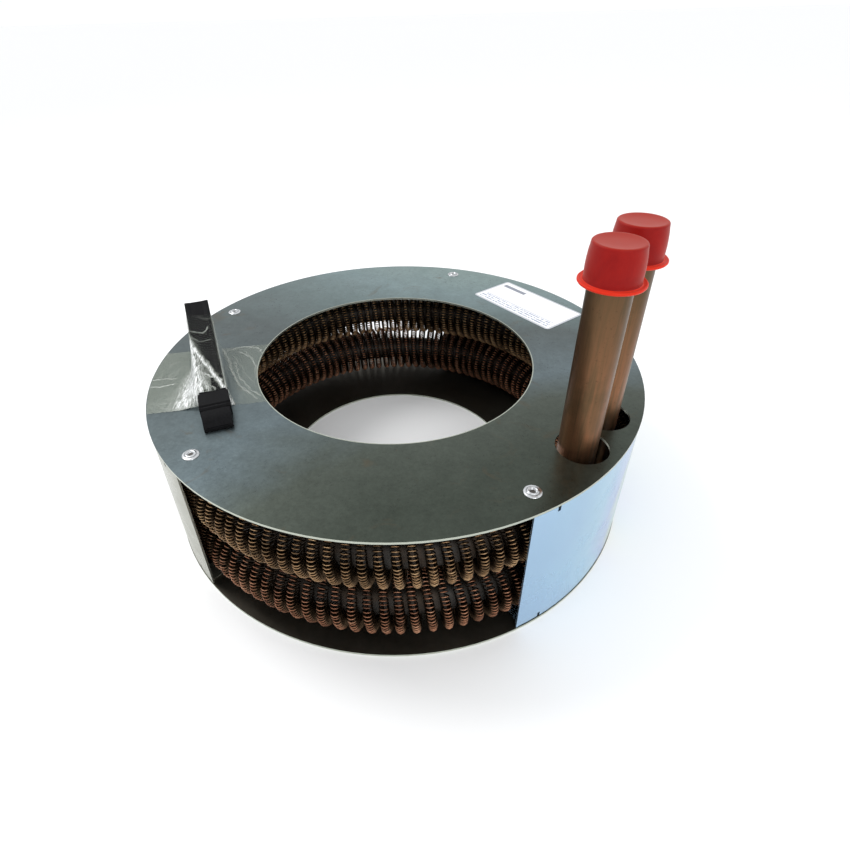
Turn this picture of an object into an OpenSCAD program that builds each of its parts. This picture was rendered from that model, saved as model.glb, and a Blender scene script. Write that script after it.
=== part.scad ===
/* [Casing] */
// Outer radius of the two ring plates
case_r = 170; // [150:1:210]
// Height of the casing over its two plates
case_h = 98.6; // [94:0.2:125]
// Thickness of the ring plates
sheet_t = 1.5; // [1:0.1:2.5]
// Radius of the air hole in the top plate
air_hole_r = 98; // [70:1:110]
// Radius of the air hole in the bottom plate
base_hole_r = 90; // [65:1:105]

/* [Side skins] */
// Thickness of the curved side skins
skin_t = 1.2; // [0.8:0.1:2]
// How far a skin stands inside the rim of the plates
skin_inset = 0.3; // [0.2:0.1:2]
// Angle where the left skin starts
left_from = 146; // [130:0.5:165]
// Angle where the left skin ends
left_to = 223.7; // [205:0.1:235]
// Angle where the right skin starts
right_from = -66.9; // [-90:0.1:-55]
// Angle where the right skin ends
right_to = 71.5; // [50:0.5:95]
// Width of a bent-in tab along the rim
tab_w = 12; // [11:0.5:18]
// Reach of a bent-in tab from the skin's outer face
tab_reach = 20; // [18:0.5:26]
// Distance from the end of a skin to its first tab
tab_inset = 2.4; // [1:0.1:8]
// Width of the relief slot beside a tab
relief_w = 1.6; // [1:0.1:3]

/* [Blind rivets] */
// Shank diameter of a blind rivet
rivet_d = 4.8; // [4:0.1:6]
// Diameter of a rivet's domed head
rivet_head_d = 10; // [8:0.1:12]
// Height of a rivet's domed head
rivet_head_h = 1.4; // [1:0.1:2]
// Distance of the rivets from the skin's outer face
rivet_from_skin = 13.3; // [12:0.1:16]

/* [Finned rings] */
// Radius of the tube rings along the tube's centre line
ring_r = 144.5; // [135:0.5:146]
// How far the tube rings sit forward in the casing
ring_forward = 2.5; // [0:0.1:3]
// Outside diameter of the ring tube
tube_d = 20; // [14:0.5:21.5]
// Wall of the ring tube
tube_wall = 1; // [0.7:0.1:1.5]
// Diameter over the wire-loop fins
fin_d = 41.2; // [34:0.2:43]
// Width of a wire loop along the tube
fin_w = 4.2; // [3:0.1:5]
// Distance from one fin to the next along the tube
fin_pitch = 8.1; // [7:0.1:12]
// Bare tube left beside each upright pipe
bare_end = 19; // [17:0.5:40]
// Clearance under and between the finned rings
ring_gap = 0.3; // [0.2:0.1:1]

/* [Upright pipes] */
// Outside diameter of the upright pipes
pipe_d = 22; // [18:0.5:24]
// Wall of the upright pipes
pipe_wall = 1; // [0.7:0.1:1.5]
// Angle of the front pipe about the rings' centre
front_pipe_angle = -44.6; // [-48:0.1:-43]
// Angle of the back pipe about the rings' centre
back_pipe_angle = -30.6; // [-31:0.1:-20]
// Length of the pipes above the top plate
pipe_stand = 116.5; // [60:0.5:160]
// Play of a pipe in its plate hole, all round
pipe_play = 4.25; // [3.5:0.05:6]
// How far the plate holes sit outside the pipes' axes
hole_outset = 2.9; // [0:0.1:3.2]
// Length of pipe below its lower socket, closed by the plug
plug_h = 5; // [3:0.5:5.5]

/* [Push-on caps] */
// Height of a cap from brim to top
cap_h = 20.6; // [16:0.2:28]
// Diameter of a cap's brim
cap_brim_d = 33.8; // [31:0.2:38]
// Thickness of a cap's brim
cap_brim_t = 1.2; // [0.8:0.1:2]
// Wall of a cap
cap_wall = 1.6; // [1.2:0.1:2.2]
// Clearance between a cap and the pipe it covers
cap_clear = 0.3; // [0.3:0.05:0.6]

/* [Label] */
// Length of the label
label_l = 84; // [60:1:100]
// Width of the label
label_w = 42; // [25:1:50]
// Thickness of the label
label_t = 0.3; // [0.2:0.05:0.5]
// Angle of the label's middle about the casing
label_angle = 34.8; // [30:0.5:50]
// Radius of the label's middle
label_r = 136.7; // [130:0.5:140]

/* [Strap and film] */
// Length of the strap from its hook to its free end
strap_l = 101; // [80:1:110]
// Width of the strap
strap_w = 18.8; // [14:0.2:22]
// Thickness of the strap
strap_t = 2.2; // [1.5:0.1:3]
// Rise of the strap towards its free end, in degrees
strap_rise = 10.5; // [6:0.5:14]
// Height of the hook block
hook_h = 9; // [8:0.2:12]
// Length of the hook block
hook_l = 21; // [18:0.5:26]
// Width of the film band
film_w = 76; // [60:1:80]
// Thickness of the film, drawn thicker than real film
film_t = 0.3; // [0.2:0.05:0.4]

/* [Hidden] */
$fn = 64;
floor_z = sheet_t;
roof_z = case_h - sheet_t;
skin_r = case_r - skin_inset;
rivet_r = skin_r - rivet_from_skin;
tab_half = asin(tab_w / 2 / rivet_r);
tab_end = asin((tab_w / 2 + tab_inset) / rivet_r);
relief_a = asin(relief_w / rivet_r);
left_tabs = [left_from + tab_end, left_to - tab_end];
right_tabs = [right_from + tab_end, (right_from + right_to) / 2, right_to - tab_end];
rivet_angles = concat(left_tabs, right_tabs);
rivet_play = 0.05;
rivet_grip = sheet_t + skin_t;
bulb_h = 2.6;
bulb_r = rivet_d * 0.74;
stem_r = rivet_d * 0.27;
stem_sunk = 0.9;
stem_head_h = 1.2;
dome_r = (pow(rivet_head_d / 2, 2) + pow(rivet_head_h, 2)) / 2 / rivet_head_h;
relief_h = 4;
relief_lap = 0.06;
edge_gap = 0.3;
leg_lap = 0.1;
bend_bevel = 0.8 * skin_t;

tube_r = tube_d / 2;
fin_r = fin_d / 2;
pipe_r = pipe_d / 2;
lower_z = floor_z + skin_t + ring_gap + fin_r;
upper_z = lower_z + fin_d + ring_gap;
ring_sweep = 360 - (back_pipe_angle - front_pipe_angle);
bare_angle = bare_end / ring_r * 180 / PI;
fin_count = floor((ring_sweep - 2 * bare_angle) * PI / 180 * ring_r / fin_pitch);
fin_step = (ring_sweep - 2 * bare_angle) / fin_count;
// The winding moves half a pitch along the tube between its top and its bottom
fin_lean = atan(fin_pitch / 2 / fin_d);
crest_r = fin_w / 2;

pipe_top = case_h + pipe_stand;
braze_gap = 0.15;
socket_wall = 1;
socket_depth = 6;
socket_r = tube_r + socket_wall;
socket_start = pipe_r + 0.5;
socket_mid = socket_start + socket_depth / 2;
socket_end = socket_start + socket_depth;
branch_r = tube_r - tube_wall - 0.5;
pipe_foot = lower_z - socket_r - plug_h;
plug_wall = 1.2;
plug_gap = 0.5;
// Points in the casing's frame for a pipe that stands on the rings' centre line
function pipe_at(a) = [ring_r * cos(a), ring_r * sin(a) - ring_forward];
function hole_at(a) = pipe_at(a) * (1 + hole_outset / norm(pipe_at(a)));
pipe_angles = [front_pipe_angle, back_pipe_angle];
hole_r = pipe_r + pipe_play;

cap_bore_r = pipe_r + cap_clear;
cap_top_r = cap_bore_r + cap_wall;
cap_belly_r = cap_top_r + 1.1;
cap_mouth_r = cap_belly_r - 0.5;
cap_shoulder = 2.6;
cap_dish = 0.7;
cap_lid_t = 2;
cap_z = pipe_top + cap_lid_t + cap_dish + cap_clear - cap_h;

strap_angle = 108.6;
strap_x = -113.5;
strap_y = -62.5;
hook_slot = 1.3;
strap_lip = 2.4;
film_angle = 7.2;
film_x = -127;
film_y = -19;
film_foot = 9;
film_outer = -62;
film_inner = 48;
film_gap = 0.8;

// A flat ring plate lying on z
module ring_plate(z, hole) {
    difference() {
        translate([0, 0, z]) cylinder(h = sheet_t, r = case_r, $fn = 180);
        translate([0, 0, z - 1]) cylinder(h = sheet_t + 2, r = hole, $fn = 180);
    }
}

// Places its children at each tab, where a rivet stands
module at_rivets(angles = rivet_angles) {
    for (a = angles) rotate([0, 0, a]) translate([rivet_r, 0, 0]) children();
}

module rivet_hole() {
    translate([0, 0, roof_z - 5]) cylinder(h = 10, r = rivet_d / 2 + rivet_play);
}

module top_plate() {
    color("slategray") difference() {
        ring_plate(roof_z, air_hole_r);
        for (a = pipe_angles)
            translate(concat(hole_at(a), roof_z - 1)) cylinder(h = sheet_t + 2, r = hole_r);
        at_rivets() rivet_hole();
    }
}

module bottom_plate() {
    color("slategray") ring_plate(0, base_hole_r);
}

// Section through the wall of a skin, which stops just short of the plates
module wall_section() {
    translate([skin_r - skin_t, floor_z + edge_gap]) square([skin_t, roof_z - floor_z - 2 * edge_gap]);
}

// Section through the two legs of a tab, which lap into the wall
module leg_section() {
    for (z = [floor_z, roof_z - skin_t]) translate([skin_r - tab_reach, z]) square([tab_reach - leg_lap, skin_t]);
}

// Cutter that bevels the two bends of a tab on their outside
module bend_cutter() {
    for (side = [0, 1]) translate([0, side * (floor_z + roof_z)]) mirror([0, side]) polygon([
        [skin_r + 1, floor_z - 1], [skin_r - bend_bevel - 1, floor_z - 1], [skin_r + 1, floor_z + bend_bevel + 1]
    ]);
}

// Cutter for the relief slots beside a tab
module relief_cutter() {
    for (z = [floor_z - 1, roof_z - relief_h])
        translate([skin_r - 2 * skin_t, z]) square([3 * skin_t, relief_h + 1]);
}

// Turns a side section about the casing's axis between two angles
module sector(from, to) {
    rotate([0, 0, from]) rotate_extrude(angle = to - from) children();
}

// A curved sheet cut and bent from one blank: the tabs under the roof are riveted, those on the floor welded
module skin(from, to, tabs) {
    difference() {
        union() {
            sector(from, to) wall_section();
            for (a = tabs) sector(a - tab_half, a + tab_half) leg_section();
        }
        for (a = tabs) sector(a - tab_half - relief_a / 2, a + tab_half + relief_a / 2) bend_cutter();
        for (i = [0 : len(tabs) - 2]) {
            sector(tabs[i] + tab_half - relief_lap, tabs[i] + tab_half + relief_a) relief_cutter();
            sector(tabs[i + 1] - tab_half - relief_a, tabs[i + 1] - tab_half + relief_lap) relief_cutter();
        }
        at_rivets(tabs) rivet_hole();
    }
}

module left_skin() {
    color("silver") skin(left_from, left_to, left_tabs);
}

module right_skin() {
    color("lightsteelblue") skin(right_from, right_to, right_tabs);
}

// A blind rivet with its head's seat at height 0: dome, shank and the bulb formed on the blind side
module rivet() {
    rotate_extrude() difference() {
        union() {
            intersection() {
                translate([0, rivet_head_h - dome_r]) circle(r = dome_r, $fn = 180);
                square([rivet_head_d / 2, rivet_head_h]);
            }
            translate([0, -rivet_grip]) square([rivet_d / 2, rivet_grip]);
            translate([0, -rivet_grip - bulb_h]) square([bulb_r, bulb_h]);
        }
        translate([-1, -20]) square([1 + stem_r, 40]);
    }
}

// The part of the pulling mandrel that stays in the rivet: a broken stem over a round head
module rivet_stem() {
    foot = -rivet_grip - bulb_h;
    translate([0, 0, foot]) cylinder(h = rivet_head_h - stem_sunk - foot, r = stem_r);
    translate([0, 0, foot - stem_head_h]) cylinder(h = stem_head_h, r = stem_r * 1.6);
}

module top_rivets() {
    color("gainsboro") at_rivets() translate([0, 0, case_h]) rivet();
}

module top_rivet_stems() {
    color("dimgray") at_rivets() translate([0, 0, case_h]) rivet_stem();
}

// Sets its children on the rings' own centre
module on_rings(z = 0) {
    translate([0, -ring_forward, z]) children();
}

// A ring tube runs right round from a socket on one upright pipe to a socket on the other
module ring_tube(z) {
    end = socket_start / ring_r * 180 / PI;
    on_rings(z) rotate([0, 0, back_pipe_angle + end]) rotate_extrude(angle = ring_sweep - 2 * end)
        translate([ring_r, 0]) difference() {
            circle(r = tube_r);
            circle(r = tube_r - tube_wall);
        }
}

module lower_ring_tube() {
    color("peru") ring_tube(lower_z);
}

module upper_ring_tube() {
    color("peru") ring_tube(upper_z);
}

// Section of one turn of looped wire: a straight-sided loop with a round crest
module fin_section() {
    translate([tube_r, -fin_w / 2]) square([fin_r - crest_r - tube_r, fin_w]);
    translate([fin_r - crest_r, 0]) intersection() {
        circle(r = crest_r, $fn = 24);
        translate([0, -fin_w / 2]) square([crest_r, fin_w]);
    }
}

module fin_winding(z, phase) {
    on_rings(z) for (i = [0 : fin_count - 1])
        rotate([0, 0, back_pipe_angle + bare_angle + (i + phase) * fin_step]) translate([ring_r, 0, 0])
            rotate([90 + fin_lean, 0, 0]) rotate_extrude($fn = 48) fin_section();
}

module lower_fin_wire() {
    color("sienna") fin_winding(lower_z, 0.5);
}

module upper_fin_wire() {
    color("darkgoldenrod") fin_winding(upper_z, 0.5);
}

// Points a cylinder along a ring, from the pipe at angle a past its socket; way is the ring's side of the pipe
module along_ring(a, way, z, from, to, r) {
    turn = socket_mid / ring_r * 180 / PI;
    on_rings(z) rotate([0, 0, a + way * turn]) translate([ring_r, way * (from - socket_mid), 0])
        rotate([-90 * way, 0, 0]) cylinder(h = to - from, r = r);
}

// An upright pipe with a brazed socket for each ring tube
module header(a, way) {
    difference() {
        union() {
            translate(concat(pipe_at(a), pipe_foot)) cylinder(h = pipe_top - pipe_foot, r = pipe_r);
            for (z = [lower_z, upper_z]) along_ring(a, way, z, 0, socket_end, socket_r);
        }
        translate(concat(pipe_at(a), pipe_foot - 1)) cylinder(h = pipe_top - pipe_foot + 2, r = pipe_r - pipe_wall);
        for (z = [lower_z, upper_z]) {
            along_ring(a, way, z, 0, socket_start + 1, branch_r);
            along_ring(a, way, z, socket_start, socket_end + 1, tube_r + braze_gap);
        }
    }
}

module front_header() {
    color("peru") header(front_pipe_angle, -1);
}

module back_header() {
    color("peru") header(back_pipe_angle, 1);
}

// A closed end brazed over the foot of an upright pipe
module header_plug(a) {
    translate(concat(pipe_at(a), pipe_foot - plug_wall)) difference() {
        cylinder(h = plug_h - plug_gap + plug_wall, r = pipe_r + braze_gap + plug_wall);
        translate([0, 0, plug_wall]) cylinder(h = plug_h + 1, r = pipe_r + braze_gap);
    }
}

module front_header_plug() {
    color("peru") header_plug(front_pipe_angle);
}

module back_header_plug() {
    color("peru") header_plug(back_pipe_angle);
}

// Half section of a soft cap: brim, barrel-shaped body, round shoulder and dished lid over a tapered bore
shoulder_steps = 6;
cap_outline = concat(
    [[cap_bore_r + 0.9, 0], [cap_brim_d / 2, 0], [cap_brim_d / 2, cap_brim_t], [cap_mouth_r, cap_brim_t]],
    [[cap_belly_r, cap_h * 0.35], [cap_belly_r - 0.2, cap_h * 0.6]],
    [for (i = [0 : shoulder_steps]) let (t = i * 90 / shoulder_steps)
        [cap_top_r - cap_shoulder + cap_shoulder * cos(t), cap_h - cap_shoulder + cap_shoulder * sin(t)]],
    [[cap_top_r - cap_shoulder - 1.2, cap_h - cap_dish], [0, cap_h - cap_dish]],
    [[0, cap_h - cap_dish - cap_lid_t], [cap_bore_r, cap_h - cap_dish - cap_lid_t], [cap_bore_r, cap_h * 0.45]]
);

module cap(a) {
    translate(concat(pipe_at(a), cap_z)) rotate_extrude() polygon(cap_outline);
}

module front_cap() {
    color("red") cap(front_pipe_angle);
}

module back_cap() {
    color("red") cap(back_pipe_angle);
}

module rating_label() {
    corner = 3;
    color("white") rotate([0, 0, label_angle]) translate([label_r, 0, case_h]) linear_extrude(label_t) {
        square([label_w - 2 * corner, label_l], center = true);
        square([label_w, label_l - 2 * corner], center = true);
        for (x = [-1, 1], y = [-1, 1])
            translate([x * (label_w / 2 - corner), y * (label_l / 2 - corner)]) circle(r = corner);
    }
}

// Sets a side section, drawn with X along the strap and Y up, on the top plate
module on_strap_line() {
    translate([strap_x, strap_y, case_h]) rotate([0, 0, strap_angle])
        translate([0, strap_w / 2, 0]) rotate([90, 0, 0]) linear_extrude(strap_w) children();
}

strap_from = hook_l - 4;

module fixing_strap() {
    color("#202020") on_strap_line()
        translate([strap_from, hook_h - strap_t - strap_lip]) rotate(strap_rise)
            square([(strap_l - strap_from) / cos(strap_rise), strap_t]);
}

// The hook is a block with a rolled nose, two slots across its top and an open throat at the back
module strap_hook() {
    nose_r = hook_h * 0.42;
    color("#181818") on_strap_line() difference() {
        union() {
            translate([nose_r, nose_r]) circle(r = nose_r);
            translate([nose_r, 0]) square([hook_l * 0.55, 2.4]);
            translate([0, nose_r]) square([strap_from, hook_h - nose_r]);
        }
        for (x = [4.5, 7.5]) translate([x, hook_h - 1.5]) square([hook_slot, 2]);
        translate([nose_r + 1.5, 2.4]) square([hook_l, hook_h - 6]);
    }
}

// Where the strap's line crosses a film edge that runs v along the film: distance along the strap, place across the film
strap_turn = strap_angle - film_angle - 90;
strap_dx = (strap_x - film_x) * cos(film_angle) + (strap_y - film_y) * sin(film_angle);
strap_dy = (strap_y - film_y) * cos(film_angle) - (strap_x - film_x) * sin(film_angle);
function strap_run(v) = (v - strap_dy) / cos(strap_turn);
function strap_mid(v) = strap_dx - (v - strap_dy) * tan(strap_turn);

// The film lies flat on the plate and rises to pass over the hook and strap: a row of points along each long edge
strap_top_z = hook_h - strap_lip + strap_t / cos(strap_rise) - strap_t;
function film_lift(v) = film_gap + max(hook_h, strap_top_z + (strap_run(v) - strap_from) * tan(strap_rise));
function film_row(v, up) = let (m = strap_mid(v), h = strap_w / 2 / cos(strap_turn) + 0.6, z = 0.05 + up) [
    [film_outer, v, z], [m - h - film_foot, v, z], [m - h, v, film_lift(v) + up],
    [m + h, v, film_lift(v) + up], [m + h + film_foot, v, z], [film_inner, v, z]
];
film_points = concat(
    film_row(-film_w / 2, 0), film_row(film_w / 2, 0),
    film_row(-film_w / 2, film_t), film_row(film_w / 2, film_t));
film_faces = concat(
    [for (i = [0 : 4]) [i, i + 1, i + 7, i + 6]],
    [for (i = [12 : 16]) [i, i + 6, i + 7, i + 1]],
    [for (i = [0 : 4]) [i, i + 12, i + 13, i + 1]],
    [for (i = [6 : 10]) [i, i + 1, i + 13, i + 12]],
    [[0, 6, 18, 12], [5, 17, 23, 11]]);

module clear_film() {
    color("#e0e0e080") difference() {
        translate([film_x, film_y, case_h]) rotate([0, 0, film_angle]) polyhedron(film_points, film_faces);
        translate([0, 0, roof_z]) cylinder(h = 60, r = air_hole_r, $fn = 96);
        translate([0, 0, roof_z]) difference() {
            cylinder(h = 60, r = case_r + 80, $fn = 24);
            translate([0, 0, -1]) cylinder(h = 62, r = case_r - 0.5, $fn = 96);
        }
    }
}

top_plate();
bottom_plate();
left_skin();
right_skin();
top_rivets();
top_rivet_stems();
lower_ring_tube();
upper_ring_tube();
lower_fin_wire();
upper_fin_wire();
front_header();
back_header();
front_header_plug();
back_header_plug();
front_cap();
back_cap();
rating_label();
fixing_strap();
strap_hook();
clear_film();
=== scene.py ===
# %% [markdown]
# # A ring heat exchanger in its casing
# Two rings of copper tube, each wound with looped wire, lie one over the other between two sheet steel
# plates. Curved steel skins close most of the rim. Two upright pipes carry the liquid in and out, and red
# caps close them in transit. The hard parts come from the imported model, and this script adds what only a
# renderer needs: wire loops, crinkled film, print, soft plastic and the colours of steel and old copper.

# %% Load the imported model
import bpy
import bmesh
import math
import numpy as np
from mathutils import Matrix, Vector, noise


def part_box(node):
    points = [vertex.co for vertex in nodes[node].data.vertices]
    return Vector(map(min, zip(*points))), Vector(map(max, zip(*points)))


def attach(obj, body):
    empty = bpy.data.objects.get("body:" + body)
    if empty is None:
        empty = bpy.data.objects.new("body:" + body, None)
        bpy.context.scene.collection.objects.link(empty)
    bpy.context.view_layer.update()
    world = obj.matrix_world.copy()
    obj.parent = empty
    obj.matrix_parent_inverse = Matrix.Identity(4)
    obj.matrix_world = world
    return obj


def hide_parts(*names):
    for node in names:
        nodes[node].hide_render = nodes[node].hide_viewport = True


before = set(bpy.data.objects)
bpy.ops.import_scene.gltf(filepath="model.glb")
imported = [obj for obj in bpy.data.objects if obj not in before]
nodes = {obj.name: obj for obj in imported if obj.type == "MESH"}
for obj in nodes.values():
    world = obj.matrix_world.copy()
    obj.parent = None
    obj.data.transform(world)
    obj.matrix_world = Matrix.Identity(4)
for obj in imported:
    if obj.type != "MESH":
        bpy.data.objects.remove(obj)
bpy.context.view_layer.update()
MM = 0.001

# %% [markdown]
# ## The camera
# The casing is seen from above its front edge with a fairly wide lens, so the near side of the ring looms.
# The camera is placed first, because everything else is judged through it. Its turn is built from three
# angles, and a small shift of the lens puts the ring where it belongs in the frame.

# %% Place the camera
CAMERA_PLACE = (0.0, -0.3421, 0.3052)
CAMERA_PAN, CAMERA_TILT, CAMERA_ROLL = (math.radians(a) for a in (0.720, 34.762, -1.494))
LENS_MM, SENSOR_MM = 23.24, 36.0
SHIFT = (0.0273, -0.0403)


def camera_turn(pan, tilt, roll):
    ahead = Vector((math.sin(pan) * math.cos(tilt), math.cos(pan) * math.cos(tilt), -math.sin(tilt)))
    level = Vector((math.cos(pan), -math.sin(pan), 0))
    above = level.cross(ahead)
    right = level * math.cos(roll) + above * math.sin(roll)
    up = above * math.cos(roll) - level * math.sin(roll)
    return Matrix((right, up, -ahead)).transposed().to_4x4()


camera_data = bpy.data.cameras.new("camera")
camera_data.lens, camera_data.sensor_width = LENS_MM, SENSOR_MM
camera_data.shift_x, camera_data.shift_y = SHIFT
camera_data.clip_start = 0.01
camera = bpy.data.objects.new("camera", camera_data)
bpy.context.scene.collection.objects.link(camera)
camera.matrix_world = Matrix.Translation(CAMERA_PLACE) @ camera_turn(CAMERA_PAN, CAMERA_TILT, CAMERA_ROLL)
bpy.context.scene.camera = camera
print("camera at", CAMERA_PLACE)

# %% [markdown]
# ## The studio
# Small products are shown on a white sweep under soft light. A wide pale floor and a pale sky give that,
# two weak round lamps add a little direction, and the plain display transform keeps white as white.

# %% Floor, sky and lamps
scene = bpy.context.scene
scene.view_settings.view_transform = "Standard"
SKY_COLOUR, SKY_STRENGTH = (0.98, 0.99, 1.0, 1.0), 1.03
FLOOR_COLOUR, FLOOR_HALF = (0.975, 0.975, 0.975, 1.0), 40.0
LAMP_ACROSS, LAMP_AIM = 0.5, (0, 0, 0.05)

sky = bpy.data.worlds.new("sky")
sky.use_nodes = True
sky_light = next(n for n in sky.node_tree.nodes if n.type == "BACKGROUND")
sky_light.inputs["Color"].default_value = SKY_COLOUR
sky_light.inputs["Strength"].default_value = SKY_STRENGTH
scene.world = sky


def lamp(name, place, power):
    data = bpy.data.lights.new(name, "AREA")
    data.shape, data.size, data.energy = "DISK", LAMP_ACROSS, power
    made = bpy.data.objects.new(name, data)
    scene.collection.objects.link(made)
    made.location = place
    made.rotation_euler = (Vector(LAMP_AIM) - Vector(place)).to_track_quat("-Z", "Y").to_euler()


lamp("key_lamp", (-0.75, 0.35, 1.15), 6)
lamp("front_lamp", (0.35, -1.1, 0.75), 3)

# %% [markdown]
# ## Helpers for finishes
# Every finish is a small graph of nodes that ends in one Principled shader. These few functions add a node,
# read the piece's own coordinates, and turn noise into a colour or a bump, so that each finish below reads
# as a short recipe.

# %% Node helpers
SIDE_FACING = 0.6


class Finish:
    """One material, its Principled shader and the nodes that feed it."""
    def __init__(self, name, **values):
        self.material = bpy.data.materials.new(name)
        self.material.use_nodes = True
        self.tree = self.material.node_tree
        self.shader = next(n for n in self.tree.nodes if n.type == "BSDF_PRINCIPLED")
        for socket, value in values.items():
            self.shader.inputs[socket.replace("_", " ")].default_value = value
        self.place = self.node("ShaderNodeTexCoord").outputs["Object"]

    def node(self, kind, **settings):
        made = self.tree.nodes.new(kind)
        for name, value in settings.items():
            setattr(made, name, value)
        return made

    def feed(self, socket, value):
        if isinstance(value, bpy.types.NodeSocket):
            self.tree.links.new(value, socket)
        else:
            socket.default_value = value

    def stretched(self, scale):
        mapping = self.node("ShaderNodeMapping")
        self.feed(mapping.inputs["Vector"], self.place)
        mapping.inputs["Scale"].default_value = scale
        return mapping.outputs["Vector"]

    def noise(self, scale, detail=3.0, rough=0.5, stretch=None, warp=0.0):
        made = self.node("ShaderNodeTexNoise")
        self.feed(made.inputs["Vector"], self.stretched(stretch) if stretch else self.place)
        settings = {"Scale": scale, "Detail": detail, "Roughness": rough, "Distortion": warp}
        for socket, value in settings.items():
            made.inputs[socket].default_value = value
        return made.outputs["Fac"]

    def sums(self, kind, a, b=0.0, clamp=False):
        made = self.node("ShaderNodeMath", operation=kind, use_clamp=clamp)
        self.feed(made.inputs[0], a)
        self.feed(made.inputs[1], b)
        return made.outputs[0]

    def product(self, a, b, clamp=False):
        return self.sums("MULTIPLY", a, b, clamp)

    def ramp(self, factor, stops):
        made = self.node("ShaderNodeValToRGB")
        while len(made.color_ramp.elements) < len(stops):
            made.color_ramp.elements.new(0.5)
        for element, (at, colour) in zip(made.color_ramp.elements, stops):
            element.position = at
            element.color = (*colour, 1) if isinstance(colour, tuple) else (colour, colour, colour, 1)
        self.feed(made.inputs["Fac"], factor)
        return made.outputs["Color"]

    def mix(self, factor, a, b, kind="MIX"):
        made = self.node("ShaderNodeMix", data_type="RGBA", blend_type=kind)
        for socket, value in ((made.inputs["Factor"], factor), (made.inputs[6], a), (made.inputs[7], b)):
            self.feed(socket, (*value, 1) if isinstance(value, tuple) and len(value) == 3 else value)
        return made.outputs[2]

    def steer(self, factor, low, high):
        made = self.node("ShaderNodeMapRange")
        self.feed(made.inputs["Value"], factor)
        made.inputs["To Min"].default_value = low
        made.inputs["To Max"].default_value = high
        return made.outputs["Result"]

    def bump(self, height, strength, distance):
        made = self.node("ShaderNodeBump")
        made.inputs["Strength"].default_value = strength
        made.inputs["Distance"].default_value = distance
        self.feed(made.inputs["Height"], height)
        if self.shader.inputs["Normal"].is_linked:
            self.feed(made.inputs["Normal"], self.shader.inputs["Normal"].links[0].from_socket)
        self.feed(self.shader.inputs["Normal"], made.outputs["Normal"])

    def part(self, vector, axis):
        made = self.node("ShaderNodeSeparateXYZ")
        self.feed(made.inputs[0], vector)
        return made.outputs[axis]

    def facing_side(self):
        normal = self.node("ShaderNodeTexCoord").outputs["Normal"]
        return self.sums("LESS_THAN", self.sums("ABSOLUTE", self.part(normal, "Z")), SIDE_FACING)

    def colour(self, value):
        self.feed(self.shader.inputs["Base Color"], value)

    def roughness(self, value):
        self.feed(self.shader.inputs["Roughness"], value)


def dress(node, finish):
    """Give a CAD node a finish. It keeps its mesh."""
    mesh = nodes[node].data
    mesh.materials.clear()
    mesh.materials.append(finish.material)


def piece(name, source, finish, body, stands_for=(), smooth=True):
    """Make a piece from a bmesh or a mesh, at the origin, riding on a body."""
    mesh = source
    if isinstance(source, bmesh.types.BMesh):
        mesh = bpy.data.meshes.new(name)
        source.to_mesh(mesh)
        source.free()
    mesh.materials.append(finish.material)
    if smooth:
        mesh.shade_smooth()
    made = bpy.data.objects.new(name, mesh)
    scene.collection.objects.link(made)
    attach(made, body)
    for node in stands_for:
        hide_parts(node)
    print(name, len(mesh.polygons), "faces")
    return made


print("helpers ready")

# %% [markdown]
# ## The floor
# The floor is only a stage, and it is plain, pale and matt so that it throws light back up under the rings.

# %% Make the floor
floor_bm = bmesh.new()
bmesh.ops.create_grid(floor_bm, x_segments=1, y_segments=1, size=FLOOR_HALF)
floor_mesh = bpy.data.meshes.new("studio_floor")
floor_bm.to_mesh(floor_mesh)
floor_bm.free()
floor_finish = Finish("studio_paint", Base_Color=FLOOR_COLOUR, Roughness=0.9)
floor_mesh.materials.append(floor_finish.material)
studio_floor = bpy.data.objects.new("studio_floor", floor_mesh)
scene.collection.objects.link(studio_floor)
print("floor", FLOOR_HALF * 2, "m across")

# %% [markdown]
# ## Passivated steel plates
# Zinc plated sheet that has been dipped in passivate takes on a thin film of colour: dull grey green where
# the film is thick, and blue and teal where it is thin. Broad zones come from a slope across the plate with
# noise added, and a twist that makes the corners differ. The slope, dark at the front and pale at the back
# and left, is partly that tint and partly painted reflection of the light from the back and left. The sheared
# edges and a thin ring round the air hole are painted bright: bare metal at the cut, and a painted highlight
# along the edge. The base plate inside the casing gets a darker copy of the same steel as painted shade.

# %% Finish the plates
# Edge colour and rim line width: bare metal with a painted highlight along the edges and round the air hole.
EDGE_BARE_AND_HIGHLIGHT, STAIN_BROWN, FLECK_BROWN = (0.46, 0.49, 0.42), (0.10, 0.075, 0.045), (0.06, 0.035, 0.02)
AIR_HOLE_R, RIM_LINE_HALF = 98 * MM, 0.55 * MM


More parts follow.
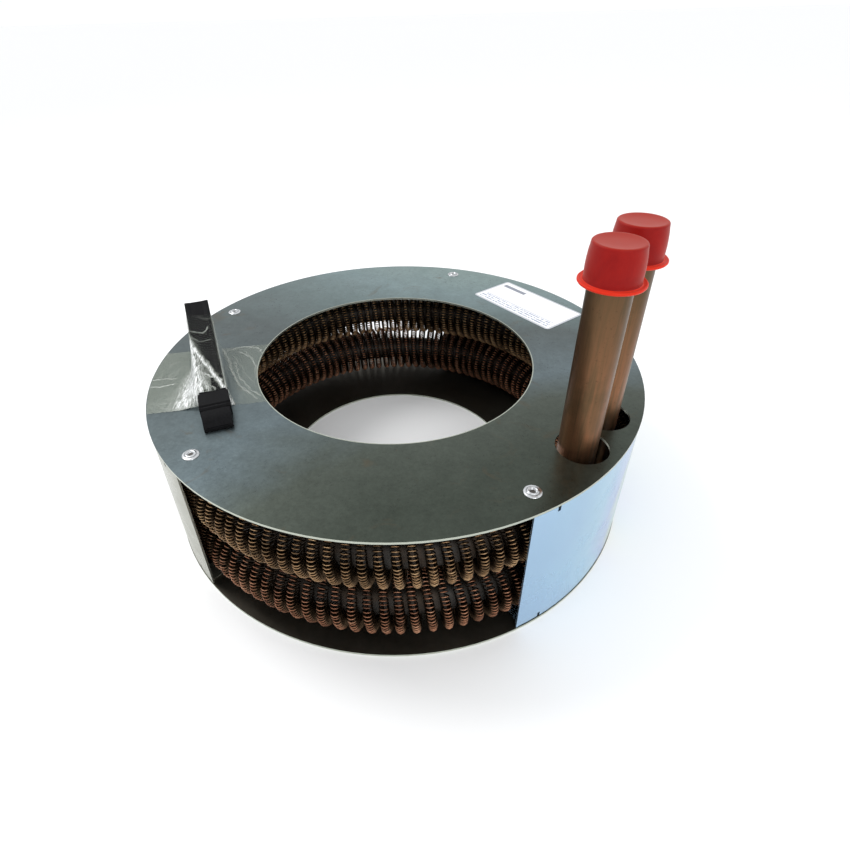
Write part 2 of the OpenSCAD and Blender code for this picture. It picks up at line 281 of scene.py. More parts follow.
def sheet_steel(name, zones, slope, edge, rough, cloud=0.07, uneven=0.22, twist=0.0, rim=0.0):
    """Coloured steel. The slope holds the zones' change along X, along Y, and their start; the zones carry
    film tint and painted light together.
    """
    finish = Finish(name, Metallic=0.90, IOR=1.6)
    across, along, lift = slope
    right, far = finish.part(finish.place, "X"), finish.part(finish.place, "Y")
    # The slope carries the film's tint and painted reflection of the light together.
    tint_and_light = finish.sums("ADD", finish.product(right, across), finish.product(far, along))
    tint_and_light = finish.sums("ADD", tint_and_light, finish.product(finish.product(far, right), twist))
    drift = finish.steer(finish.noise(11, 4, 0.6, warp=0.8), lift - cloud, lift + cloud)
    colour = finish.ramp(finish.sums("ADD", tint_and_light, drift), zones)
    mottle = finish.noise(400, 5, 0.80, warp=0.3)
    blotch = finish.noise(70, 4, 0.65, warp=0.6)
    shade = finish.product(
        finish.steer(mottle, 1 - uneven, 1 + uneven), finish.steer(blotch, 1 - uneven / 2, 1 + uneven / 2))
    colour = finish.mix(1.0, colour, shade, "MULTIPLY")
    stain = finish.ramp(finish.noise(38, 4, 0.6, warp=1.2), [(0.62, 0.0), (0.74, 1.0)])
    colour = finish.mix(finish.product(stain, uneven), colour, STAIN_BROWN)
    smudge = finish.ramp(finish.noise(17, 5, 0.65, warp=2.0), [(0.45, 0.0), (0.75, 1.0)])
    # Painted highlight on bare metal: side faces and a thin ring round the air hole take the bright edge
    # colour.
    if edge:
        from_axis = finish.node("ShaderNodeVectorMath", operation="LENGTH")
        finish.feed(from_axis.inputs[0], finish.stretched((1, 1, 0)))
        from_rim = finish.sums("SUBTRACT", from_axis.outputs["Value"], rim)
        rim_line = finish.sums("LESS_THAN", finish.sums("ABSOLUTE", from_rim), RIM_LINE_HALF)
        colour = finish.mix(finish.sums("MAXIMUM", finish.facing_side(), rim_line), colour, edge)
    finish.colour(colour)
    gloss = finish.sums("ADD", finish.steer(smudge, rough, rough + 0.14), finish.steer(mottle, -0.05, 0.07))
    finish.roughness(gloss)
    finish.bump(mottle, 0.10, 0.08 * MM)
    return finish


# Dark at the front, pale towards the back: passivate tints, with painted reflection of the light from the
# back and left.
plate_finish = sheet_steel(
    "passivated_plate",
    [(0.16, (0.054, 0.065, 0.052)), (0.26, (0.076, 0.089, 0.074)), (0.36, (0.125, 0.160, 0.172)),
     (0.50, (0.088, 0.108, 0.108)), (0.60, (0.125, 0.170, 0.170)), (0.70, (0.177, 0.243, 0.250)),
     (0.86, (0.210, 0.285, 0.270))],
    (-0.1, 1.9, 0.45), EDGE_BARE_AND_HIGHLIGHT, 0.28, uneven=0.42, twist=9.0, rim=AIR_HOLE_R)
# A darker, browner copy of the same steel: painted shade on the base plate inside the casing.
shaded_base_finish = sheet_steel(
    "passivated_base_painted_shade", [(0.2, (0.048, 0.043, 0.034)), (0.8, (0.100, 0.090, 0.072))],
    (0.0, 0.5, 0.5), EDGE_BARE_AND_HIGHLIGHT, 0.36, cloud=0.3)
dress("top_plate", plate_finish)
dress("bottom_plate", shaded_base_finish)
print("plates finished")

# %% [markdown]
# ## Skins
# The curved side skins are the same metal with a thinner, cleaner film, so they mirror the pale floor and
# show sky blue and lilac. Their pale, near white tones are painted reflection of the floor and sky over the
# film's blue and lilac. The one that faces the lamp is painted warm grey: painted lamp light on the same
# steel.

# %% Finish the skins
# Blue and lilac film tints, turning near white towards the back: painted reflection of the pale floor and
# sky.
right_skin_finish = sheet_steel(
    "passivated_skin",
    [(0.02, (0.36, 0.52, 0.69)), (0.26, (0.38, 0.58, 0.72)), (0.36, (0.40, 0.50, 0.72)),
     (0.44, (0.54, 0.62, 0.56)), (0.52, (0.33, 0.58, 0.70)), (0.66, (0.38, 0.48, 0.74)),
     (0.80, (0.34, 0.58, 0.66)), (0.98, (0.60, 0.74, 0.78))],
    (0.0, 5.6, 0.90), None, 0.20, cloud=0.24, uneven=0.03)
# Painted lamp light: the skin that faces the lamp is the same steel, painted a warm grey.
lamp_lit_skin_finish = sheet_steel(
    "passivated_skin_lamp_lit",
    [(0.1, (0.27, 0.275, 0.225)), (0.4, (0.33, 0.335, 0.285)), (0.7, (0.35, 0.37, 0.34)),
     (0.95, (0.32, 0.36, 0.38))],
    (1.2, 2.6, 0.80), None, 0.26, cloud=0.2, uneven=0.06)
dress("right_skin", right_skin_finish)
dress("left_skin", lamp_lit_skin_finish)
print("skins finished")

# %% [markdown]
# ## Old copper
# The pipes are bare copper that has browned in store: orange where it is rubbed, olive in long streaks down
# the pipe and towards its top, and flecked where flux has run. Streaks are noise stretched along Z. The
# ring tubes get the same copper under a grey wash of solder, which is what holds the wire on, but both copper
# and solder are painted far darker than on the pipes, as painted shade for tubes that sit deep among the
# fins.

# %% Finish the pipes and tubes
# Solder grey, painted dark as shade for the tubes deep among the fins.
SHADED_SOLDER_GREY = (0.05, 0.05, 0.048)


def old_copper(name, clean, brown, olive, grey_share, stretch, rough=0.26):
    finish = Finish(name, Metallic=0.92)
    streak = finish.noise(26, 4, 0.6, stretch=stretch, warp=0.4)
    cloud = finish.noise(30, 4, 0.6, warp=0.8)
    fleck = finish.noise(420, 3, 0.65)
    colour = finish.ramp(streak, [(0.30, brown), (0.48, clean), (0.60, brown), (0.78, olive)])
    colour = finish.mix(finish.ramp(cloud, [(0.50, 0.0), (0.72, 0.55)]), colour, olive)
    high = finish.steer(finish.product(finish.part(finish.place, "Z"), 5.0, clamp=True), 0.0, 1.0)
    colour = finish.mix(finish.ramp(high, [(0.60, 0.0), (0.98, 0.75)]), colour, olive)
    colour = finish.mix(finish.ramp(fleck, [(0.62, 0.0), (0.75, 0.5)]), colour, FLECK_BROWN)
    colour = finish.mix(finish.ramp(cloud, [(0.42, grey_share), (0.62, 0.0)]), colour, SHADED_SOLDER_GREY)
    finish.colour(colour)
    gloss = finish.sums("ADD", finish.steer(streak, rough, rough + 0.2), finish.steer(fleck, -0.05, 0.08))
    finish.roughness(gloss)
    finish.bump(streak, 0.06, 0.3 * MM)
    finish.bump(fleck, 0.12, 0.08 * MM)
    return finish


pipe_finish = old_copper(
    "aged_copper", (0.245, 0.112, 0.056), (0.165, 0.090, 0.046), (0.080, 0.056, 0.028), 0.0, (10, 10, 0.5))
# The ring tubes: the same copper and solder with darkened colours, painted shade for tubes deep among the
# fins.
shaded_tube_finish = old_copper(
    "soldered_copper_painted_shade", (0.060, 0.040, 0.028), (0.038, 0.028, 0.020), (0.050, 0.045, 0.035), 0.8, (3, 3, 3),
    0.45)
for node in ("front_header", "back_header", "front_header_plug", "back_header_plug"):
    dress(node, pipe_finish)
for node in ("lower_ring_tube", "upper_ring_tube"):
    dress(node, shaded_tube_finish)
print("copper finished")

# %% [markdown]
# ## Looped wire fins
# Each ring tube is wound with a flattened coil of thin copper wire, soldered down along one side, so that
# some fifty upright loops stand round the tube in every turn. The CAD draws each turn as one solid rib.
# Here a single loop is swept with extrude and rotate, a few dozen faces in all, and then stamped along a
# true helix, with a little unevenness in its lean, because hand-handled wire never stands straight.

# %% Sweep one loop
WIRE_R, WIRE_SIDES = 0.44 * MM, 4
ring_low, ring_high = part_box("upper_ring_tube")
rib_low, rib_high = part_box("upper_fin_wire")
tube_r = (ring_high.z - ring_low.z) / 2
ring_r = (ring_high.x - ring_low.x) / 2 - tube_r
fin_r = (rib_high.x - rib_low.x) / 2 - ring_r
ring_y = (rib_high.y + rib_low.y) / 2
LOOP_HALF, CREST = 3.0 * MM - WIRE_R, fin_r - WIRE_R
LOOP_SIDE = [
    (0.45, tube_r - 0.1 * MM), (0.95, tube_r + 4 * MM), (1.0, CREST - 2.3 * MM), (0.60, CREST - 0.62 * MM)]
LOOP_PATH = [(-share * LOOP_HALF, z) for share, z in LOOP_SIDE] + [(0.0, CREST)]
LOOP_PATH += [(share * LOOP_HALF, z) for share, z in reversed(LOOP_SIDE)]


def swept_wire(path, radius, sides):
    """A wire swept along points in the XZ plane."""
    points = [Vector((x, 0, z)) for x, z in path]
    bm = bmesh.new()
    heading = (points[1] - points[0]).normalized()
    start = Matrix.Translation(points[0]) @ heading.to_track_quat("Z", "Y").to_matrix().to_4x4()
    ring = bmesh.ops.create_circle(bm, cap_ends=True, segments=sides, radius=radius, matrix=start)["verts"]
    edges = list(dict.fromkeys(e for v in ring for e in v.link_edges))
    for i in range(1, len(points)):
        made = bmesh.ops.extrude_edge_only(bm, edges=edges)["geom"]
        verts = [g for g in made if isinstance(g, bmesh.types.BMVert)]
        edges = [g for g in made if isinstance(g, bmesh.types.BMEdge)]
        bmesh.ops.translate(bm, verts=verts, vec=points[i] - points[i - 1])
        if i < len(points) - 1:
            following = (points[i + 1] - points[i]).normalized()
            turn = heading.rotation_difference(following).to_matrix()
            bmesh.ops.rotate(bm, verts=verts, cent=points[i], matrix=turn)
            heading = following
    bmesh.ops.contextual_create(bm, geom=edges)
    bmesh.ops.recalc_face_normals(bm, faces=bm.faces)
    return bm


loop_bm = swept_wire(LOOP_PATH, WIRE_R, WIRE_SIDES)
print("one loop", len(loop_bm.faces), "faces; tube", round(tube_r / MM, 1), "fin", round(fin_r / MM, 1), "mm")

# %% [markdown]
# ### Stamping the loops
# A helix round a ring has two angles: one round the ring, one round the tube. Both grow steadily with the
# loop's number. Copying one mesh a few thousand times is a job for arrays, so the loop's own corners are
# read once and each stamp only turns and moves them. Each loop also carries how tarnished it is, and a
# share that is 1 on its crest and 0 down its legs: a painted highlight on the crest, painted shade on the
# legs.

# %% Stamp the windings
LOOPS_PER_TURN, TURNS = 52, 103
ALL_LOOPS = LOOPS_PER_TURN * TURNS
LEAN_SPREAD, HEIGHT_SPREAD, TURN_SPREAD = math.radians(0.9), 0.16 * MM, 0.30 * MM
LEAN_LIMIT, CREST_LIT_DEPTH, WINDING_SEED = 0.12, 2.4 * MM, 11
BARE = 19.0 * MM / ring_r


def pipe_angle(cap):
    low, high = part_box(cap)
    return math.atan2((low.y + high.y) / 2 - ring_y, (low.x + high.x) / 2)


wind_from = pipe_angle("back_cap") + BARE
wind_to = pipe_angle("front_cap") + 2 * math.pi - BARE
loop_corners = np.array([v.co for v in loop_bm.verts])
loop_faces = [[v.index for v in f.verts] for f in loop_bm.faces]
loop_bm.free()
random_draws = np.random.default_rng(WINDING_SEED)


def stamped_winding(name, node, first, last, finish):
    """Stamp loops number first to last of a winding, as one mesh."""
    centre_z = sum(corner.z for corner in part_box(node)) / 2
    count = np.arange(first, last)
    turn = count // LOOPS_PER_TURN
    uneven = random_draws.normal(0, 1, (3, len(count)))
    shove = np.repeat(random_draws.normal(0, TURN_SPREAD, TURNS + 2), LOOPS_PER_TURN)[count]
    round_tube = 2 * math.pi * count / LOOPS_PER_TURN
    round_ring = wind_from + (wind_to - wind_from) * count / ALL_LOOPS + shove / ring_r
    outward = np.stack([np.cos(round_ring), np.sin(round_ring), 0 * round_ring], 1)
    along = np.stack([np.sin(round_ring), -np.cos(round_ring), 0 * round_ring], 1)
    upward = np.array([0.0, 0.0, 1.0])
    standing = outward * np.cos(round_tube)[:, None] - upward * np.sin(round_tube)[:, None]
    winding = -outward * np.sin(round_tube)[:, None] - upward * np.cos(round_tube)[:, None]
    lean, twist = np.clip(uneven[:2] * LEAN_SPREAD, -LEAN_LIMIT, LEAN_LIMIT)
    corners = np.repeat(loop_corners[None], len(count), 0)
    height = 1 - np.clip(np.abs(uneven[2]), 0, 2) * HEIGHT_SPREAD / fin_r
    x, y, z = corners[..., 0], corners[..., 1], corners[..., 2] * height[:, None]
    y = y + (z - tube_r) * lean[:, None] + x * twist[:, None]
    placed = (outward * ring_r + np.array([0.0, ring_y, centre_z]))[:, None]
    for size, way in ((x, along), (y, winding), (z, standing)):
        placed = placed + size[..., None] * way[:, None]
    stride = len(loop_corners)
    faces = [[v + i * stride for v in face] for i in range(len(count)) for face in loop_faces]
    mesh = bpy.data.meshes.new(name)
    mesh.from_pydata(placed.reshape(-1, 3).tolist(), [], faces)
    shade = mesh.attributes.new("tarnish", "FLOAT", "POINT")
    tarnish = np.clip(0.5 + 0.12 * uneven[0] + 0.10 * random_draws.normal(0, 1, TURNS + 2)[turn], 0, 1)
    shade.data.foreach_set("value", np.repeat(tarnish, stride).astype(np.float32))
    # Painted highlight and shade: 1 at the crest, fading to 0 down the legs.
    crest_lit = mesh.attributes.new("crest_lit", "FLOAT", "POINT")
    crest_lit_share = np.clip((loop_corners[:, 2] - (fin_r - CREST_LIT_DEPTH)) / CREST_LIT_DEPTH, 0, 1)
    crest_lit.data.foreach_set("value", np.tile(crest_lit_share, len(count)).astype(np.float32))
    return piece(name, mesh, finish, "casing", [node])


# Painted shade for the legs of the loops, shaded by their neighbours.
LEG_SHADE = (0.062, 0.040, 0.023)


def fin_wire(name, dull, warm, pale):
    """Wire with painted shade on its legs, where its neighbours shade it, and its bright tone kept on the
    crest as a painted highlight.
    """
    finish = Finish(name, Metallic=0.90)
    tarnish = finish.node("ShaderNodeAttribute", attribute_name="tarnish").outputs["Fac"]
    crest_lit = finish.node("ShaderNodeAttribute", attribute_name="crest_lit").outputs["Fac"]
    drift = finish.steer(finish.noise(24, 3, 0.6), -0.1, 0.5)
    tone = finish.sums("ADD", finish.product(tarnish, 0.6), drift)
    colour = finish.ramp(tone, [(0.25, dull), (0.50, warm), (0.80, pale)])
    fleck = finish.noise(700, 2, 0.6)
    colour = finish.mix(finish.ramp(fleck, [(0.56, 0.0), (0.72, 0.6)]), colour, FLECK_BROWN)
    # Painted shade on the legs; the crest keeps its bright tone as a painted highlight.
    finish.colour(finish.mix(finish.ramp(crest_lit, [(0.10, 1.0), (0.85, 0.0)]), colour, LEG_SHADE))
    finish.roughness(finish.steer(fleck, 0.24, 0.42))
    finish.bump(fleck, 0.15, 0.05 * MM)
    return finish


upper_wire_finish = fin_wire(
    "fin_wire_olive", (0.10, 0.064, 0.032), (0.32, 0.190, 0.096), (0.52, 0.350, 0.190))
lower_wire_finish = fin_wire(
    "fin_wire_red", (0.085, 0.040, 0.026), (0.29, 0.128, 0.072), (0.48, 0.255, 0.155))
half_way = ALL_LOOPS // 2
for node, wire_finish in (("upper_fin_wire", upper_wire_finish), ("lower_fin_wire", lower_wire_finish)):
    stamped_winding(node + "_back", node, 0, half_way, wire_finish)
    stamped_winding(node + "_front", node, half_way, ALL_LOOPS, wire_finish)
print("loops stamped", 2 * ALL_LOOPS)

# %% [markdown]
# ## Blind rivets
# Five aluminium rivets hold the top plate to the skins. Handling has dulled their heads a little. The heads
# are darker at the foot where they meet the plate and in the ring between rim and crown, and a ramp along Z
# finds both places. The broken steel stem shows dark in the middle of each head.

# %% Finish the rivets
HEAD_TALL = 1.4 * MM
rivet_finish = Finish("rivet_aluminium", Metallic=1.0)
rivet_scuff = rivet_finish.noise(500, 4, 0.7, warp=0.5)
rivet_tone = rivet_finish.ramp(rivet_scuff, [(0.35, (0.70, 0.72, 0.74)), (0.65, (0.48, 0.49, 0.50))])
RIVET_HEAD_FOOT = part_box("top_rivets")[1].z - HEAD_TALL
rivet_lift = rivet_finish.sums("SUBTRACT", rivet_finish.part(rivet_finish.place, "Z"), RIVET_HEAD_FOOT)
rivet_lift = rivet_finish.product(rivet_lift, 1 / HEAD_TALL, clamp=True)
# Darker at the foot where the head meets the plate and in the ring between rim and crown.
rivet_groove = rivet_finish.ramp(rivet_lift, [(0.0, 0.6), (0.3, 0.0), (0.52, 0.0), (0.62, 0.75), (0.80, 0.0)])
rivet_finish.colour(rivet_finish.mix(rivet_groove, rivet_tone, (0.10, 0.105, 0.11)))
rivet_finish.roughness(rivet_finish.steer(rivet_scuff, 0.16, 0.38))
rivet_finish.bump(rivet_scuff, 0.15, 0.1 * MM)
stem_finish = Finish("rivet_steel", Metallic=0.9)
stem_pits = stem_finish.noise(1500, 3, 0.7)
stem_finish.colour(stem_finish.ramp(stem_pits, [(0.3, (0.05, 0.05, 0.05)), (0.7, (0.16, 0.15, 0.14))]))
stem_finish.roughness(stem_finish.steer(stem_pits, 0.4, 0.7))
stem_finish.bump(stem_pits, 0.3, 0.1 * MM)
dress("top_rivet_stems", stem_finish)
print("rivet finishes ready")

# %% [markdown]
# ### Rivet heads
# A blind rivet is round all over, so half its section is drawn once and spun: a flat brim, a raised crown
# and a hole down the middle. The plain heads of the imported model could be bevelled, but a section gives the
# step between brim and crown. The stems' own corners tell where each rivet stands.

# %% Spin the rivet heads
RIVET_STEPS, RIVET_APART = 40, 8 * MM
RIVET_SECTION = [
    (1.34, 0.55), (1.34, -6.4), (3.4, -6.2), (3.5, -4.4), (2.4, -3.0), (2.4, 0.0), (4.9, 0.0), (5.0, 0.15),
    (4.95, 0.40), (4.6, 0.62), (3.6, 0.80), (3.15, 0.92), (2.95, 1.30), (2.7, 1.4), (2.2, 1.4), (1.9, 1.2),
    (1.55, 0.7)]


def rivet_places():
    """Find the middle of each rivet by gathering the stems' corners that lie close together."""
    groups = []
    for vert in nodes["top_rivet_stems"].data.vertices:
        spot = Vector((vert.co.x, vert.co.y, 0))
        near = next((g for g in groups if (g[0] - spot).length < RIVET_APART), None)
        if near:
            near.append(spot)
        else:
            groups.append([spot])
    return [Vector([(min(p[i] for p in g) + max(p[i] for p in g)) / 2 for i in range(3)]) for g in groups]


def spin_section(bm, middle, section, steps):
    """Spin a closed section of radius and height pairs, in metres, a full turn about an upright axis."""
    verts = [bm.verts.new((middle.x + r, middle.y, middle.z + z)) for r, z in section]
    edges = [bm.edges.new(pair) for pair in zip(verts, verts[1:] + verts[:1])]
    bmesh.ops.spin(
        bm, geom=verts + edges, cent=middle, axis=(0, 0, 1), angle=2 * math.pi, steps=steps, use_merge=True)


def spun_rivets():
    bm = bmesh.new()
    for place in rivet_places():
        middle = Vector((place.x, place.y, RIVET_HEAD_FOOT))
        spin_section(bm, middle, [(r * MM, z * MM) for r, z in RIVET_SECTION], RIVET_STEPS)
    bmesh.ops.remove_doubles(bm, verts=bm.verts, dist=0.005 * MM)
    bmesh.ops.recalc_face_normals(bm, faces=bm.faces)
    return bm


piece("rivet_heads", spun_rivets(), rivet_finish, "casing", ["top_rivets"])

# %% [markdown]
# ## Red transit caps
# The caps are soft vinyl dipped or moulded over the pipe end: a thin brim, a body that bulges a little
# where it grips, a round shoulder and a lid with a shallow dish. A profile spun round the pipe's axis gives
# all of that in one closed piece, with the bore inside.

# %% Spin the caps
CAP_STEPS, BRIM_TRIM = 96, 0.8 * MM
PIPE_R, CAP_PLAY = 11.0 * MM, 0.3 * MM
CAP_BORE_R = PIPE_R + CAP_PLAY


def cap_profile(height, brim_r):
    """List radius and height pairs, in metres, from the bore's mouth out, up, over and down the bore."""
    belly, top_r, shoulder = 13.5 * MM, 12.5 * MM, 1.1 * MM
    profile = [(CAP_BORE_R + 0.5 * MM, 0.0), (brim_r - 1.2 * MM, 0.15 * MM), (brim_r - 0.4 * MM, 0.35 * MM)]
    profile += [(brim_r, 0.9 * MM), (brim_r, 1.5 * MM), (brim_r - 0.4 * MM, 1.95 * MM)]
    profile += [(brim_r - 0.9 * MM, 1.95 * MM)]
    profile += [(belly + 0.7 * MM, 1.5 * MM), (belly + 0.1 * MM, 1.9 * MM), (belly - 0.1 * MM, 2.8 * MM)]
    profile += [(belly, height * 0.28), (belly, height * 0.42), (belly - 0.15 * MM, height * 0.58)]
    profile += [(belly - 0.45 * MM, height * 0.75), (top_r + 0.15 * MM, height * 0.88)]
    for step in range(7):
        angle = math.radians(step * 90 / 6)
        out = top_r - shoulder + shoulder * math.cos(angle)
        profile.append((out, height - shoulder + shoulder * math.sin(angle)))
    profile += [(10.6 * MM, height - 0.10 * MM), (8.6 * MM, height - 0.50 * MM)]
    profile += [(4.0 * MM, height - 0.70 * MM), (0.0, height - 0.75 * MM), (0.0, height - 2.7 * MM)]
    profile += [(CAP_BORE_R - 0.6 * MM, height - 2.7 * MM), (CAP_BORE_R, height - 3.3 * MM)]
    profile += [(CAP_BORE_R, height * 0.3)]
    return profile


def spun_cap(node):
    low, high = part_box(node)
    foot = (low + high) / 2
    foot.z = low.z
    bm = bmesh.new()
    spin_section(bm, foot, cap_profile(high.z - low.z, (high.x - low.x) / 2 - BRIM_TRIM), CAP_STEPS)
    bmesh.ops.remove_doubles(bm, verts=bm.verts, dist=0.01 * MM)
    bmesh.ops.recalc_face_normals(bm, faces=bm.faces)
    return bm


print("cap bore", round(2 * CAP_BORE_R / MM, 1), "mm across")

# %% [markdown]
# ### Soft red vinyl
# Vinyl scatters a little light inside and has a soft bloom at grazing angles, so the shader gets a trace of
# subsurface and some sheen. The lid is paler where it catches the sky, and the thin brim lets light through
# and looks brighter, so both are found by height and given their own red: painted sky light on the lid and
# painted light shining through the brim.

# %% Finish the caps
LID_DEEP, BRIM_TALL = 3 * MM, 1.97 * MM
cap_low, cap_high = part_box("front_cap")
cap_finish = Finish(
    "red_plastic", IOR=1.48, Specular_IOR_Level=0.10, Subsurface_Weight=0.02,
    Subsurface_Radius=(0.003, 0.0006, 0.0006), Sheen_Weight=0.22, Sheen_Roughness=0.45,
    Sheen_Tint=(1.0, 0.42, 0.32, 1))
cap_cloud = cap_finish.noise(70, 4, 0.6, warp=0.7)
cap_grain = cap_finish.noise(900, 3, 0.6)
cap_colour = cap_finish.ramp(
    cap_cloud, [(0.30, (0.225, 0.005, 0.005)), (0.60, (0.285, 0.008, 0.006)), (0.8, (0.39, 0.018, 0.009))])
cap_up = cap_finish.part(cap_finish.node("ShaderNodeTexCoord").outputs["Normal"], "Z")
cap_z = cap_finish.part(cap_finish.place, "Z")
# Painted sky light: the upward-facing part of the lid is painted a paler red.
lid_sky_light = cap_finish.sums("GREATER_THAN", cap_z, cap_high.z - LID_DEEP)
lid_sky_light = cap_finish.product(cap_finish.ramp(cap_up, [(0.55, 0.0), (0.9, 0.65)]), lid_sky_light)
cap_colour = cap_finish.mix(lid_sky_light, cap_colour, (0.32, 0.020, 0.010))
# Painted light through the thin brim: the brim is painted a brighter orange red.
brim_light_through = cap_finish.sums("LESS_THAN", cap_z, cap_low.z + BRIM_TALL)
cap_finish.colour(cap_finish.mix(cap_finish.product(brim_light_through, 0.8), cap_colour, (0.72, 0.030, 0.010)))
cap_finish.roughness(
    cap_finish.sums("ADD", cap_finish.steer(cap_cloud, 0.34, 0.48), cap_finish.steer(cap_grain, -0.03, 0.05)))
cap_finish.bump(cap_grain, 0.10, 0.06 * MM)
cap_finish.bump(cap_cloud, 0.10, 0.6 * MM)
for body in ("front_cap", "back_cap"):
    piece(body + "_vinyl", spun_cap(body), cap_finish, body, [body])

# %% [markdown]
# ## Rating label
# A white foil label with a silver edge sits on the plate by the pipes. It is a thin card with round corners:
# a grid of one face, its corners bevelled, then extruded and softened along the upper edge. It carries a UV
# map, so the print follows its edges however it is turned.

# %% Cut the label
LABEL_LONG, LABEL_WIDE, LABEL_CORNER, LABEL_EDGE = 84 * MM, 42 * MM, 3 * MM, 0.08 * MM
LABEL_ANGLE = math.radians(34.8)
label_low, label_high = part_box("rating_label")
label_centre = (label_low + label_high) / 2


def cut_label():
    bm = bmesh.new()
    bmesh.ops.create_grid(bm, x_segments=1, y_segments=1, size=0.5)
    bmesh.ops.scale(bm, vec=(LABEL_WIDE, LABEL_LONG, 1), verts=bm.verts)
    bmesh.ops.bevel(
        bm, geom=bm.verts[:], offset=LABEL_CORNER, affect="VERTICES", segments=8, profile=0.5, material=-1)
    lifted = bmesh.ops.extrude_face_region(bm, geom=bm.faces[:])["geom"]
    thick = label_high.z - label_low.z
    bmesh.ops.translate(bm, verts=[g for g in lifted if isinstance(g, bmesh.types.BMVert)], vec=(0, 0, thick))
    bmesh.ops.recalc_face_normals(bm, faces=bm.faces)
    rim = [e for e in bm.edges if all(v.co.z > thick / 2 for v in e.verts) and len(e.link_faces) == 2]
    rim = [e for e in rim if abs(e.calc_face_angle(0)) > 1]
    bmesh.ops.bevel(bm, geom=rim, offset=LABEL_EDGE, affect="EDGES", segments=2, profile=0.5, material=-1)
    layer = bm.loops.layers.uv.new("print")
    for face in bm.faces:
        for corner in face.loops:
            corner[layer].uv = (0.5 - corner.vert.co.y / LABEL_LONG, 0.5 + corner.vert.co.x / LABEL_WIDE)
    spot = Matrix.Translation((label_centre.x, label_centre.y, label_low.z))
    bmesh.ops.transform(bm, matrix=spot @ Matrix.Rotation(LABEL_ANGLE, 4, "Z"), verts=bm.verts)
    return bm


print("label", round(LABEL_LONG / MM), "by", round(LABEL_WIDE / MM), "mm")

# %% [markdown]
# ### The print
# The print is a plain bar for a heading, three rows of dashes and one ruled line, with no words. Text could
# be a mesh of its own, but small print reads as grey rows from any distance, so bands of the UV map are
# inked, and white noise leaves gaps in the rows.

# %% Print the label
DASH_PITCH, DASH_ROWS, DASH_SEED, GAP_SHARE = 0.011, 40, 3, 0.28
PRINT_LINES = [(0.08, 0.115), (0.15, 0.185), (0.22, 0.25)]
label_finish = Finish("label_paper", IOR=1.45)
label_uv = label_finish.node("ShaderNodeUVMap", uv_map="print").outputs["UV"]
label_u, label_v = label_finish.part(label_uv, "X"), label_finish.part(label_uv, "Y")


def band(value, low, high):
    """Give 1 between low and high, and 0 outside."""
    above = label_finish.sums("GREATER_THAN", value, low)
    return label_finish.product(above, label_finish.sums("LESS_THAN", value, high))


def patch(left, right, low, high):
    """Give 1 inside a rectangle of the label, and 0 outside."""
    return label_finish.product(band(label_u, left, right), band(label_v, low, high))


def dashes(left, right):
    """Draw rows of uneven dashes that stand for small print."""
    cells = label_finish.node("ShaderNodeTexWhiteNoise", noise_dimensions="2D")
    join = label_finish.node("ShaderNodeCombineXYZ")
    column = label_finish.sums("FLOOR", label_finish.product(label_u, 1 / DASH_PITCH))
    row = label_finish.sums("FLOOR", label_finish.product(label_v, DASH_ROWS))
    label_finish.feed(join.inputs[0], column)
    label_finish.feed(join.inputs[1], label_finish.sums("ADD", row, DASH_SEED))
    label_finish.feed(cells.inputs["Vector"], join.outputs[0])
    inked = label_finish.sums("GREATER_THAN", cells.outputs["Value"], GAP_SHARE)
    lines = 0.0
    for low, high in PRINT_LINES:
        lines = label_finish.sums("ADD", band(label_v, low, high), lines, clamp=True)
    return label_finish.product(label_finish.product(lines, inked), band(label_u, left, right))


label_silver = label_finish.sums("SUBTRACT", 1.0, patch(0.02, 0.98, 0.04, 0.96))
label_colour = label_finish.ramp(
    label_finish.noise(60, 3, 0.6), [(0.3, (0.86, 0.87, 0.88)), (0.7, (0.93, 0.93, 0.94))])
for ink, weight, tone in (
        (dashes(0.04, 0.95), 0.9, (0.22, 0.27, 0.40)),
        (patch(0.05, 0.95, 0.275, 0.295), 0.6, (0.2, 0.24, 0.36)),
        (patch(0.05, 0.34, 0.76, 0.86), 0.8, (0.06, 0.08, 0.14))):
    label_colour = label_finish.mix(label_finish.product(ink, weight), label_colour, tone)
label_finish.colour(label_finish.mix(label_silver, label_colour, (0.62, 0.64, 0.68)))
label_finish.roughness(label_finish.steer(label_finish.noise(300, 3, 0.6), 0.28, 0.42))
label_finish.feed(label_finish.shader.inputs["Metallic"], label_finish.product(label_silver, 0.8))
label_finish.bump(label_finish.noise(35, 2, 0.5), 0.1, 0.4 * MM)
piece("label_card", cut_label(), label_finish, "casing", ["rating_label"], smooth=False)

# %% [markdown]
# ## Fixing strap and hook
# A black plastic strap is packed on top of the plate, held in a grooved hook at one end, with its free end
# standing up. Both are moulded bars, so a box is enough to start from: loops cut along it give the bow of
# the strap and the nose and grooves of the hook, and bevels catch the light. Both are a little longer than
# the plain solids they stand for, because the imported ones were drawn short.

# %% Shape the strap
STRAP_START, STRAP_HEADING = Vector((-107.5 * MM, -79.9 * MM, 0)), math.radians(108.7)
STRAP_FOOT, STRAP_END, STRAP_WIDE, STRAP_THICK = 24 * MM, 117 * MM, 16.6 * MM, 2.2 * MM
STRAP_RISE, STRAP_BOW, STRAP_LIP, STRAP_BASE = math.radians(16.3), 1.2 * MM, 0.22 * MM, 4.4 * MM
case_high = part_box("top_plate")[1]
CASE_R, CASE_TOP = case_high.x, case_high.z
strap_frame = Matrix.Translation((STRAP_START.x, STRAP_START.y, CASE_TOP))
strap_frame = strap_frame @ Matrix.Rotation(STRAP_HEADING, 4, "Z")


